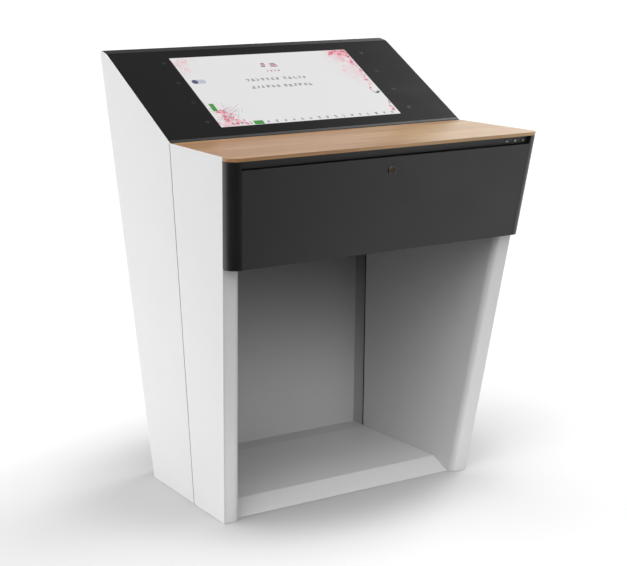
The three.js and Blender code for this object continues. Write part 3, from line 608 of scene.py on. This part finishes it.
def add_bezel_marks():
    """Small printed touch marks on both sides of the display, faint grey."""
    mark = moulded("bezel_print", "272727", 0.4)
    outlines = []
    for centre in (-288, 306):
        for i, v in enumerate((25, 107, 190, 277)):
            outlines.append(bar(centre, v + 3, 9, 1.6))
            outlines.append(bar(centre, v - 3, 9, 1.6))
            outlines.append(bar(centre + (5 if i % 2 else -5), v, 1.6, 4.0))
    closed_plate("bezel_marks", outlines, slope_layer(0.02), 0.05, mark, "cabinet")


add_bezel_marks()


def add_key_symbols():
    """A plain symbol on each key of the strip."""
    print_grey = moulded("key_print", "c4c4c4", 0.5)
    names = ("first_key", "second_key", "third_key")
    shapes = (
        [bar(0, 0, 9, 2.0), bar(0, 0, 2.0, 6.5)],
        [disc(0, 0, 3.0, 20)],
        [[(-3.2, -3.0), (3.6, 0.0), (-3.2, 3.0)]],
    )
    for x, body, outlines in zip(BUTTON_PLACES, names, shapes):

        def place(u, v, out, x=x):
            local_y = -(0.8 + 0.02 + out)
            cos, sin = math.cos(FRONT_ANGLE), math.sin(FRONT_ANGLE)
            y = face_y(BUTTON_HEIGHT) + STRIP_RECESS + local_y * cos - v * sin
            z = BUTTON_HEIGHT + local_y * sin + v * cos
            return Vector((x + u, y, z)) * MM

        closed_plate(body + "_symbol", outlines, place, 0.05, print_grey, body)


add_key_symbols()


def knee_half(z):
    """The clear half width between the legs' inner walls at their rear edge."""
    return KNEE_HALF_WIDTH + FLARE * z


def back_y(z):
    return FOOT_DEPTH + BACK_LEAN * z + SHIFT_Y


def add_prism(name, rings, material, body):
    """A closed solid between rings of points that all have the same number of points, in mm."""
    mesh = bmesh.new()
    loops = [[mesh.verts.new(Vector(point) * MM) for point in ring] for ring in rings]
    mesh.faces.new(loops[0])
    mesh.faces.new(list(reversed(loops[-1])))
    for low, high in zip(loops, loops[1:]):
        for i in range(len(low)):
            j = (i + 1) % len(low)
            mesh.faces.new((low[i], high[i], high[j], low[j]))
    add_piece(name, mesh, material, body)


def add_knee_shadow_strips_and_seal():
    """Guessed black edge seals at the joints of the knee space's back. The two at the legs' rear edges
    are painted shade, standing in for the shaded gaps there.

    The top one covers a slot between the housing floor, the back and the upper frame."""
    section = ((0.3, 0.7), (12.0, 0.7), (12.0, 5.8), (1.6, 6.4), (0.3, 5.4))
    # painted shade: dark strips behind the legs' rear edges, where the gaps are in shade
    for name, side in (("left_knee_shadow_strip", -1), ("right_knee_shadow_strip", 1)):
        rings = []
        for z in (KNEE_LOW, KNEE_HIGH):
            rings.append([(side * (knee_half(z) + x), back_y(z) + y, z) for x, y in section])
        add_prism(name, rings, RUBBER, "cabinet")
    rings = []
    top_section = ((281.0, 642.6), (283.6, 642.2), (284.0, 645.8), (281.0, 645.8))
    for x in (-357.0, 357.0):
        rings.append([(x, y, z) for y, z in top_section])
    add_prism("top_knee_gasket", rings, RUBBER, "cabinet")


def half_width(y, z):
    """From the middle to the outer face of a side panel, with y measured from the front foot."""
    return FOOT_HALF_WIDTH + FLARE * z - TOE_IN * y


def add_groove_shadow_strips():
    """A black strip in the groove between the two panels of each side: painted shade, deepening the
    groove's shadow line. A guessed black seal in the groove between the two panels of each side.
    """
    corners = ((-1.35, 2.9), (-1.35, 1.0), (-0.6, 0.6), (0.6, 0.6), (1.35, 1.0), (1.35, 2.9))
    # painted shade: a dark strip set into the groove to deepen its shadow
    for name, side in (("left_groove_shadow_strip", -1), ("right_groove_shadow_strip", 1)):
        rings = []
        for z in (1.5, 902.5):
            middle = GROOVE_FOOT_Y + (SLOPE_FOOT[0] - GROOVE_FOOT_Y) * z / SLOPE_FOOT[1]
            ring = []
            for dy, depth in corners:
                y = middle + dy
                ring.append((side * (half_width(y, z) - depth), y + SHIFT_Y, z))
            rings.append(ring)
        add_prism(name, rings, RUBBER, "cabinet")


add_knee_shadow_strips_and_seal()
add_groove_shadow_strips()

# ------------------------------------------------------------------ small fittings

FRONT_NORMAL = Vector((0, -math.cos(FRONT_ANGLE), -math.sin(FRONT_ANGLE)))
BACK_ANGLE = math.atan(BACK_LEAN)
BACK_NORMAL = Vector((0, math.cos(BACK_ANGLE), -math.sin(BACK_ANGLE)))


def outer_face(node, normal):
    """The distance along a normal to a node's outermost face, and that face's middle, in mm."""
    piece = NODES[node]
    points = [piece.matrix_world @ vertex.co / MM for vertex in piece.data.vertices]
    reach = max(point.dot(normal) for point in points)
    rim = [point for point in points if reach - point.dot(normal) < 0.01]
    return reach, sum(rim, Vector()) / len(rim)


def face_layer(centre, normal, base):
    """Maps across, up and outwards onto a face, from its middle."""
    across = Vector((1, 0, 0))
    upwards = Vector((0, normal.z, -normal.y)) * (1 if normal.y < 0 else -1)
    return lambda u, v, out: (centre + across * u + upwards * v + normal * (base + out)) * MM


def add_keyholes():
    for node, body, normal in (
        ("drawer_lock_plug", "drawer_lock_cylinder", FRONT_NORMAL),
        ("door_lock_plug", "door_lock_cylinder", BACK_NORMAL),
    ):
        centre = outer_face(node, normal)[1]
        place = face_layer(centre, normal, 0.02)
        # painted shade: a flat black plate stands in for the shaded slot of the keyway
        closed_plate(node + "_keyhole", [bar(0, 0, 1.6, 7.0)], place, 0.05, PLASTIC, body)


def add_screws():
    """Guessed pan-head screws that hold the back frame to the sides."""
    reach, middle = outer_face("back_frame", BACK_NORMAL)
    profile = ((4.0, 0.05), (4.0, 0.7), (3.3, 1.4), (1.7, 1.8))
    count = 0
    for side in (-1, 1):
        for height in (664.0, 860.0, 1056.0):
            y = (reach - height * BACK_NORMAL.z) / BACK_NORMAL.y
            place = face_layer(Vector((side * 368.0, y, height)), BACK_NORMAL, 0.0)
            rings = []
            for radius, out in profile:
                rings.append([place(u, v, out) / MM for u, v in disc(0, 0, radius, 20)])
            count += 1
            add_prism(f"back_screw_{count}", rings, ZINC, "cabinet")
            # painted shade: a flat black plate stands in for the shaded recess of the screw's slot
            cross = [bar(0, 0, 2.6, 0.7, 2)]
            slot = face_layer(Vector((side * 368.0, y, height)), BACK_NORMAL, 1.82)
            closed_plate(f"back_screw_slot_shade_{count}", cross, slot, 0.05, PLASTIC, "cabinet")


def add_ports():
    """Sockets and lamps on the faces of the equipment that a person reaches through the rear door."""
    rear = Vector((0, 1, 0))
    for node, widths in (
        ("mini_computer", (14, 14, 17, 22, 12)),
        ("control_unit", (18, 18, 30, 30, 12)),
        ("power_supply", (26, 12)),
    ):
        centre = outer_face(node, rear)[1]
        place = face_layer(centre, rear, 0.05)
        outlines = []
        u = -sum(widths) / 2 - 4.0 * (len(widths) - 1) / 2
        for width in widths:
            outlines.append(bar(u + width / 2, 0, width, 7.0, 2))
            u += width + 4.0
        closed_plate(node + "_sockets", outlines, place, 0.6, PLASTIC, "cabinet")


add_keyholes()
add_screws()
add_ports()

# ------------------------------------------------------------------ floor, light and camera

AZIMUTH = 33.08
ELEVATION = 12.56
LENS = 93.55
CAMERA_PLACE = (-2.18866, -3.1911 + SHIFT_Y * MM, 1.40761)
VIEW_DIRECTION = (0.5457, 0.8379)  # the level direction of the camera's view, fixed in the model's frame
FLOOR_SIZE = 60.0
FLOOR_DROP = 0.0005
SUN_PLACE = (4.0, 1.5, 2.4)
SUN_SPREAD = 32.0
LEFT_WALL = 0.93
FAR_LEFT = 0.95
BAND = 0.2
RIGHT_WALL = 0.45
LOW_STRIP = 0.85
FRONT_LOW = -0.56
FRONT_HIGH = 1.5
BACKDROP = 1.05
SUN_STRENGTH = 1.3


def floor_reach(g, centre_x, centre_y, radius_x, radius_y):
    """0 at a point of the floor, 1 on an ellipse round it."""
    x = g.calc("DIVIDE", g.calc("SUBTRACT", g.axis("X"), centre_x), radius_x)
    y = g.calc("DIVIDE", g.calc("SUBTRACT", g.axis("Y"), centre_y), radius_y)
    squares = g.calc("ADD", g.calc("MULTIPLY", x, x), g.calc("MULTIPLY", y, y))
    return g.calc("SQRT", squares)


def add_floor():
    """A pale floor with a soft shade painted round the base.

    In front of the lectern it is dark, which dims the faces turned that way. Camera rays see it pale there
    too, and so do reflections towards the right."""
    mesh = bmesh.new()
    bmesh.ops.create_grid(mesh, x_segments=4, y_segments=4, size=FLOOR_SIZE)
    data = bpy.data.meshes.new("floor")
    mesh.to_mesh(data)
    mesh.free()
    g = Graph("pale_floor")
    across = g.axis("X")
    depth_x = g.calc("MULTIPLY", across, VIEW_DIRECTION[0])
    depth_y = g.calc("MULTIPLY", g.axis("Y"), VIEW_DIRECTION[1])
    depth = g.calc("ADD", depth_x, depth_y)
    path = g.node("ShaderNodeLightPath").outputs
    pale = g.calc("MAXIMUM", g.ease(depth, -1.05, -0.62, 0.0, 1.0), path["Is Camera Ray"])
    glossy = g.calc("MULTIPLY", path["Is Glossy Ray"], g.ease(across, 0.8, 1.6, 0.0, 1.0))
    pale = g.calc("MAXIMUM", pale, glossy)
    paper = g.ramp(g.noise(1.5, 3.0), [(0.3, rgb("eeeeee")), (0.7, rgb("f0f0f0"))])
    broad = floor_reach(g, -0.16, 0.16, 1.3, 0.74)
    close = floor_reach(g, -0.03, 0.09, 0.47, 0.35)
    paper = g.mix(g.ease(broad, 0.25, 0.95, 0.46, 0.0), paper, rgba("9c9c9c"))
    paper = g.mix(g.ease(close, 0.85, 1.5, 0.3, 0.0), paper, rgba("8c8c8c"))
    colour = g.mix(pale, rgba("303030"), paper)
    g.shader.inputs["Specular IOR Level"].default_value = 0.0
    data.materials.append(g.finish(Base_Color=colour, Roughness=0.9))
    floor = bpy.data.objects.new("floor", data)
    floor.location.z = -FLOOR_DROP
    bpy.context.scene.collection.objects.link(floor)


def add_sun(place, strength, spread):
    light = bpy.data.lights.new("side_light", "SUN")
    light.energy = strength
    light.angle = math.radians(spread)
    lamp = bpy.data.objects.new("side_light", light)
    lamp.location = place
    lamp.rotation_euler = Vector(place).to_track_quat("Z", "Y").to_euler()
    bpy.context.scene.collection.objects.link(lamp)


def add_world():
    """A studio of soft walls: bright from the left to overhead, a dim band, and a bright wall on the right.

    Camera rays see a plain white backdrop instead."""
    world = bpy.data.worlds.new("studio")
    world.use_nodes = True
    tree = world.node_tree
    coords = tree.nodes.new("ShaderNodeTexCoord").outputs["Generated"]
    split = tree.nodes.new("ShaderNodeSeparateXYZ")
    tree.links.new(coords, split.inputs[0])

    def ease(socket, low, high, to_low, to_high):
        made = tree.nodes.new("ShaderNodeMapRange")
        made.interpolation_type = "SMOOTHSTEP"
        tree.links.new(socket, made.inputs["Value"])
        for key, number in zip(RANGE_SOCKETS, (low, high, to_low, to_high)):
            made.inputs[key].default_value = number
        return made.outputs["Result"]

    def calc(operation, first, second):
        made = tree.nodes.new("ShaderNodeMath")
        made.operation = operation
        for socket, value in zip(made.inputs, (first, second)):
            if isinstance(value, bpy.types.NodeSocket):
                tree.links.new(value, socket)
            else:
                socket.default_value = value
        return made.outputs[0]

    left = ease(split.outputs["X"], -0.1, 0.36, LEFT_WALL, BAND)
    far_left = ease(split.outputs["X"], -0.8, -0.35, FAR_LEFT, 0.0)
    right = ease(split.outputs["X"], 0.5, 0.68, 0.0, RIGHT_WALL)
    low = ease(split.outputs["Z"], 0.22, 0.42, LOW_STRIP, 0.0)
    low = calc("MULTIPLY", low, ease(split.outputs["X"], 0.52, 0.64, 0.0, 1.0))
    low = calc("MULTIPLY", low, ease(split.outputs["Y"], 0.2, 0.5, 0.0, 1.0))
    front = ease(split.outputs["Y"], -0.5, 0.0, 1.0, 0.0)
    tilt = ease(split.outputs["Z"], 0.1, 0.75, FRONT_LOW, FRONT_HIGH)
    gain = calc("ADD", 1.0, calc("MULTIPLY", front, tilt))
    level = calc("ADD", calc("ADD", left, far_left), right)
    level = calc("ADD", calc("MULTIPLY", level, gain), low)
    camera_ray = tree.nodes.new("ShaderNodeLightPath").outputs["Is Camera Ray"]
    level = calc("MAXIMUM", level, calc("MULTIPLY", camera_ray, BACKDROP))
    background = tree.nodes["Background"]
    background.inputs["Color"].default_value = (1, 1, 1, 1)
    tree.links.new(level, background.inputs["Strength"])
    bpy.context.scene.world = world


def add_camera():
    camera = bpy.data.cameras.new("camera")
    camera.sensor_width = 36.0
    camera.lens = LENS
    camera.clip_end = 60.0
    rig = bpy.data.objects.new("camera", camera)
    rig.location = CAMERA_PLACE
    rig.rotation_euler = (math.radians(90 - ELEVATION), 0, math.radians(-AZIMUTH))
    bpy.context.scene.collection.objects.link(rig)
    bpy.context.scene.camera = rig


add_floor()
add_world()
add_sun(SUN_PLACE, SUN_STRENGTH, SUN_SPREAD)
add_camera()
bpy.context.scene.view_settings.view_transform = "Standard"
